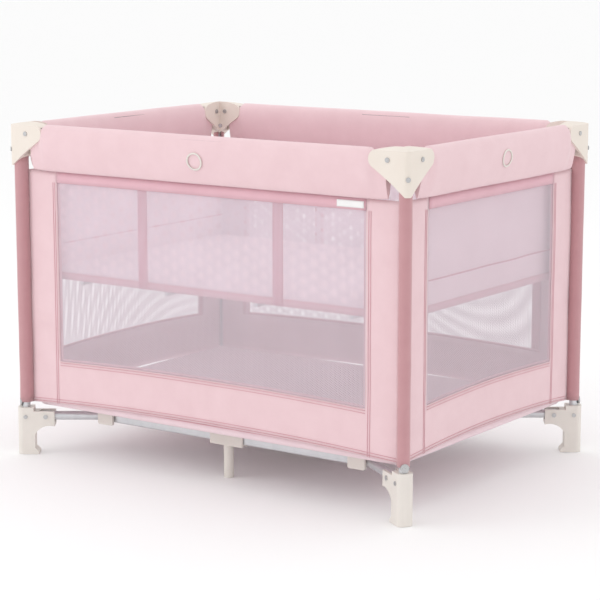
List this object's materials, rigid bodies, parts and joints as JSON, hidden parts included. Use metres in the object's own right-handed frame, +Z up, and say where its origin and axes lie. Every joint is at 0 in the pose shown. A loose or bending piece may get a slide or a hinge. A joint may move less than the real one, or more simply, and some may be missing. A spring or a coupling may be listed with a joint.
{
  "type": "travel play yard",
  "caption": "Folding travel play yard: rectangular tube frame with padded rails, mesh walls, corner feet, a folding base and a raised lift-out bassinet with pads.",
  "frame": {"origin": "on the floor at the centre of the footprint", "axes": "+X along the long side, +Y towards the back, +Z up"},
  "size_m": [1.0488, 0.7688, 0.7499],
  "materials": {
    "frame_tube": "satin silver",
    "cap_plastic": "moulded, fine texture",
    "foot_plastic": "moulded, fine texture",
    "steel": "plated",
    "latch_plastic": "moulded",
    "button_plastic": "moulded",
    "rail_fabric": "woven polyester over foam",
    "wall_fabric": "woven polyester and mesh",
    "pad_fabric": "quilted polyester",
    "bassinet_fabric": "woven polyester and mesh"
  },
  "bodies": {
    "leg_front_left": {"leg_tube_front_left": "frame_tube", "corner_cap_front_left": "cap_plastic", "foot_front_left": "foot_plastic", "leg_fasteners_front_left": "steel", "front_rail_cover": "rail_fabric", "front_wall": "wall_fabric", "left_rail_cover": "rail_fabric", "left_wall": "wall_fabric"},
    "leg_front_right": {"leg_tube_front_right": "frame_tube", "corner_cap_front_right": "cap_plastic", "foot_front_right": "foot_plastic", "leg_fasteners_front_right": "steel", "right_rail_cover": "rail_fabric", "right_wall": "wall_fabric"},
    "leg_back_right": {"leg_tube_back_right": "frame_tube", "corner_cap_back_right": "cap_plastic", "foot_back_right": "foot_plastic", "leg_fasteners_back_right": "steel"},
    "leg_back_left": {"leg_tube_back_left": "frame_tube", "corner_cap_back_left": "cap_plastic", "foot_back_left": "foot_plastic", "leg_fasteners_back_left": "steel", "back_rail_cover": "rail_fabric", "back_wall": "wall_fabric"},
    "front_rail_left": {"front_rail_tube_left": "frame_tube"},
    "left_rail_front": {"left_rail_tube_front": "frame_tube"},
    "front_rail_right": {"front_rail_tube_right": "frame_tube"},
    "right_rail_front": {"right_rail_tube_front": "frame_tube"},
    "back_rail_left": {"back_rail_tube_left": "frame_tube"},
    "left_rail_back": {"left_rail_tube_back": "frame_tube"},
    "back_rail_right": {"back_rail_tube_right": "frame_tube"},
    "right_rail_back": {"right_rail_tube_back": "frame_tube"},
    "front_latch": {"front_latch_housing": "latch_plastic"},
    "front_button": {"front_latch_button": "button_plastic"},
    "back_latch": {"back_latch_housing": "latch_plastic"},
    "back_button": {"back_latch_button": "button_plastic"},
    "left_latch": {"left_latch_housing": "latch_plastic"},
    "left_button": {"left_latch_button": "button_plastic"},
    "right_latch": {"right_latch_housing": "latch_plastic"},
    "right_button": {"right_latch_button": "button_plastic"},
    "arm_front_left": {"base_arm_front_left": "frame_tube"},
    "clip_front_left": {"knee_clip_front_left": "foot_plastic"},
    "side_rail_front_left": {"base_side_rail_front_left": "frame_tube"},
    "arm_front_right": {"base_arm_front_right": "frame_tube"},
    "clip_front_right": {"knee_clip_front_right": "foot_plastic"},
    "side_rail_front_right": {"base_side_rail_front_right": "frame_tube"},
    "arm_back_right": {"base_arm_back_right": "frame_tube"},
    "clip_back_right": {"knee_clip_back_right": "foot_plastic"},
    "side_rail_back_right": {"base_side_rail_back_right": "frame_tube"},
    "arm_back_left": {"base_arm_back_left": "frame_tube"},
    "clip_back_left": {"knee_clip_back_left": "foot_plastic"},
    "side_rail_back_left": {"base_side_rail_back_left": "frame_tube"},
    "hub": {"central_hub": "foot_plastic", "floor_mattress": "pad_fabric"},
    "side_hub_front": {"side_hub_front": "foot_plastic"},
    "side_hub_back": {"side_hub_back": "foot_plastic"},
    "bassinet_set": {"bassinet": "bassinet_fabric", "bassinet_mattress": "pad_fabric", "bassinet_rods": "frame_tube"}
  },
  "joints": [
    {"name": "frame_fold", "type": "hinge", "parent": "leg_front_left", "child": "front_rail_left", "pos_m": [-0.47, -0.362, 0.726], "axis": [0, 1, 0], "range_deg": [0, 85], "deforming": ["front_rail_cover", "back_rail_cover", "left_rail_cover", "right_rail_cover", "front_wall", "back_wall", "left_wall", "right_wall", "floor_mattress", "bassinet", "bassinet_mattress", "bassinet_rods"]},
    {"name": "front_latch_left_fold", "type": "hinge", "parent": "front_rail_left", "child": "front_latch", "pos_m": [-0.056, -0.362, 0.726], "axis": [0, 1, 0], "range_deg": [-85, 0]},
    {"name": "front_latch_right_fold", "type": "hinge", "parent": "front_latch", "child": "front_rail_right", "pos_m": [0.056, -0.362, 0.726], "axis": [0, 1, 0], "range_deg": [-85, 0]},
    {"name": "left_rail_front_fold", "type": "hinge", "parent": "leg_front_left", "child": "left_rail_front", "pos_m": [-0.502, -0.33, 0.726], "axis": [-1, 0, 0], "range_deg": [0, 85]},
    {"name": "left_latch_front_fold", "type": "hinge", "parent": "left_rail_front", "child": "left_latch", "pos_m": [-0.502, -0.045, 0.726], "axis": [-1, 0, 0], "range_deg": [-85, 0]},
    {"name": "left_latch_back_fold", "type": "hinge", "parent": "left_latch", "child": "left_rail_back", "pos_m": [-0.502, 0.045, 0.726], "axis": [-1, 0, 0], "range_deg": [-85, 0]},
    {"name": "right_rail_front_fold", "type": "hinge", "parent": "leg_front_right", "child": "right_rail_front", "pos_m": [0.502, -0.33, 0.726], "axis": [-1, 0, 0], "range_deg": [0, 85]},
    {"name": "right_latch_front_fold", "type": "hinge", "parent": "right_rail_front", "child": "right_latch", "pos_m": [0.502, -0.045, 0.726], "axis": [-1, 0, 0], "range_deg": [-85, 0]},
    {"name": "right_latch_back_fold", "type": "hinge", "parent": "right_latch", "child": "right_rail_back", "pos_m": [0.502, 0.045, 0.726], "axis": [-1, 0, 0], "range_deg": [-85, 0]},
    {"name": "back_rail_left_fold", "type": "hinge", "parent": "leg_back_left", "child": "back_rail_left", "pos_m": [-0.47, 0.362, 0.726], "axis": [0, 1, 0], "range_deg": [0, 85]},
    {"name": "back_latch_left_fold", "type": "hinge", "parent": "back_rail_left", "child": "back_latch", "pos_m": [-0.056, 0.362, 0.726], "axis": [0, 1, 0], "range_deg": [-85, 0]},
    {"name": "back_latch_right_fold", "type": "hinge", "parent": "back_latch", "child": "back_rail_right", "pos_m": [0.056, 0.362, 0.726], "axis": [0, 1, 0], "range_deg": [-85, 0]},
    {"name": "arm_front_left_fold", "type": "hinge", "parent": "leg_front_left", "child": "arm_front_left", "pos_m": [-0.46493, -0.33648, 0.086], "axis": [0.567, -0.8237, 0], "range_deg": [0, 85]},
    {"name": "hub_fold", "type": "hinge", "parent": "arm_front_left", "child": "hub", "pos_m": [-0.05093, -0.05148, 0.086], "axis": [0.567, -0.8237, 0], "range_deg": [-85, 0]},
    {"name": "clip_front_left_fold", "type": "hinge", "parent": "arm_front_left", "child": "clip_front_left", "pos_m": [-0.35538, -0.26107, 0.086], "axis": [0.567, -0.8237, 0], "range_deg": [-85, 0]},
    {"name": "side_rail_front_left_fold", "type": "hinge", "parent": "clip_front_left", "child": "side_rail_front_left", "pos_m": [-0.32738, -0.26907, 0.086], "axis": [0, -1, 0], "range_deg": [0, 85]},
    {"name": "side_hub_front_fold", "type": "hinge", "parent": "side_rail_front_left", "child": "side_hub_front", "pos_m": [-0.02293, -0.26907, 0.086], "axis": [0, -1, 0], "range_deg": [-85, 0]},
    {"name": "arm_front_right_fold", "type": "hinge", "parent": "hub", "child": "arm_front_right", "pos_m": [0.05093, -0.05148, 0.086], "axis": [0.567, 0.8237, 0], "range_deg": [0, 85]},
    {"name": "leg_front_right_fold", "type": "hinge", "parent": "arm_front_right", "child": "leg_front_right", "pos_m": [0.46493, -0.33648, 0.086], "axis": [0.567, 0.8237, 0], "range_deg": [-85, 0]},
    {"name": "clip_front_right_fold", "type": "hinge", "parent": "arm_front_right", "child": "clip_front_right", "pos_m": [0.35538, -0.26107, 0.086], "axis": [0.567, 0.8237, 0], "range_deg": [-85, 0]},
    {"name": "side_rail_front_right_fold", "type": "hinge", "parent": "clip_front_right", "child": "side_rail_front_right", "pos_m": [0.32738, -0.26907, 0.086], "axis": [0, 1, 0], "range_deg": [0, 85]},
    {"name": "arm_back_right_fold", "type": "hinge", "parent": "hub", "child": "arm_back_right", "pos_m": [0.05093, 0.05148, 0.086], "axis": [-0.567, 0.8237, 0], "range_deg": [0, 85]},
    {"name": "leg_back_right_fold", "type": "hinge", "parent": "arm_back_right", "child": "leg_back_right", "pos_m": [0.46493, 0.33648, 0.086], "axis": [-0.567, 0.8237, 0], "range_deg": [-85, 0]},
    {"name": "clip_back_right_fold", "type": "hinge", "parent": "arm_back_right", "child": "clip_back_right", "pos_m": [0.35538, 0.26107, 0.086], "axis": [-0.567, 0.8237, 0], "range_deg": [-85, 0]},
    {"name": "side_rail_back_right_fold", "type": "hinge", "parent": "clip_back_right", "child": "side_rail_back_right", "pos_m": [0.32738, 0.26907, 0.086], "axis": [0, 1, 0], "range_deg": [0, 85]},
    {"name": "arm_back_left_fold", "type": "hinge", "parent": "hub", "child": "arm_back_left", "pos_m": [-0.05093, 0.05148, 0.086], "axis": [-0.567, -0.8237, 0], "range_deg": [0, 85]},
    {"name": "leg_back_left_fold", "type": "hinge", "parent": "arm_back_left", "child": "leg_back_left", "pos_m": [-0.46493, 0.33648, 0.086], "axis": [-0.567, -0.8237, 0], "range_deg": [-85, 0]},
    {"name": "clip_back_left_fold", "type": "hinge", "parent": "arm_back_left", "child": "clip_back_left", "pos_m": [-0.35538, 0.26107, 0.086], "axis": [-0.567, -0.8237, 0], "range_deg": [-85, 0]},
    {"name": "side_rail_back_left_fold", "type": "hinge", "parent": "clip_back_left", "child": "side_rail_back_left", "pos_m": [-0.32738, 0.26907, 0.086], "axis": [0, -1, 0], "range_deg": [0, 85]},
    {"name": "side_hub_back_fold", "type": "hinge", "parent": "side_rail_back_left", "child": "side_hub_back", "pos_m": [-0.02293, 0.26907, 0.086], "axis": [0, -1, 0], "range_deg": [-85, 0]},
    {"name": "front_button_press", "type": "slide", "parent": "front_latch", "child": "front_button", "axis": [0, 0, 1], "range_m": [0, 0.004], "stiffness_N_per_m": 300, "springref_m": -0.004},
    {"name": "back_button_press", "type": "slide", "parent": "back_latch", "child": "back_button", "axis": [0, 0, 1], "range_m": [0, 0.004], "stiffness_N_per_m": 300, "springref_m": -0.004},
    {"name": "left_button_press", "type": "slide", "parent": "left_latch", "child": "left_button", "axis": [0, 0, 1], "range_m": [0, 0.004], "stiffness_N_per_m": 300, "springref_m": -0.004},
    {"name": "right_button_press", "type": "slide", "parent": "right_latch", "child": "right_button", "axis": [0, 0, 1], "range_m": [0, 0.004], "stiffness_N_per_m": 300, "springref_m": -0.004},
    {"name": "bassinet_lift", "type": "slide", "parent": "hub", "child": "bassinet_set", "axis": [0, 0, 1], "range_m": [0, 0.45]}
  ],
  "couplings": [
    {"joint": "front_latch_left_fold", "follows": "frame_fold", "ratio": -1},
    {"joint": "front_latch_right_fold", "follows": "frame_fold", "ratio": -1},
    {"joint": "left_rail_front_fold", "follows": "frame_fold", "ratio": 1},
    {"joint": "left_latch_front_fold", "follows": "frame_fold", "ratio": -1},
    {"joint": "left_latch_back_fold", "follows": "frame_fold", "ratio": -1},
    {"joint": "right_rail_front_fold", "follows": "frame_fold", "ratio": 1},
    {"joint": "right_latch_front_fold", "follows": "frame_fold", "ratio": -1},
    {"joint": "right_latch_back_fold", "follows": "frame_fold", "ratio": -1},
    {"joint": "back_rail_left_fold", "follows": "frame_fold", "ratio": 1},
    {"joint": "back_latch_left_fold", "follows": "frame_fold", "ratio": -1},
    {"joint": "back_latch_right_fold", "follows": "frame_fold", "ratio": -1},
    {"joint": "arm_front_left_fold", "follows": "frame_fold", "ratio": 1},
    {"joint": "hub_fold", "follows": "frame_fold", "ratio": -1},
    {"joint": "clip_front_left_fold", "follows": "frame_fold", "ratio": -1},
    {"joint": "side_rail_front_left_fold", "follows": "frame_fold", "ratio": 1},
    {"joint": "side_hub_front_fold", "follows": "frame_fold", "ratio": -1},
    {"joint": "arm_front_right_fold", "follows": "frame_fold", "ratio": 1},
    {"joint": "leg_front_right_fold", "follows": "frame_fold", "ratio": -1},
    {"joint": "clip_front_right_fold", "follows": "frame_fold", "ratio": -1},
    {"joint": "side_rail_front_right_fold", "follows": "frame_fold", "ratio": 1},
    {"joint": "arm_back_right_fold", "follows": "frame_fold", "ratio": 1},
    {"joint": "leg_back_right_fold", "follows": "frame_fold", "ratio": -1},
    {"joint": "clip_back_right_fold", "follows": "frame_fold", "ratio": -1},
    {"joint": "side_rail_back_right_fold", "follows": "frame_fold", "ratio": 1},
    {"joint": "arm_back_left_fold", "follows": "frame_fold", "ratio": 1},
    {"joint": "leg_back_left_fold", "follows": "frame_fold", "ratio": -1},
    {"joint": "clip_back_left_fold", "follows": "frame_fold", "ratio": -1},
    {"joint": "side_rail_back_left_fold", "follows": "frame_fold", "ratio": 1},
    {"joint": "side_hub_back_fold", "follows": "frame_fold", "ratio": -1}
  ]
}
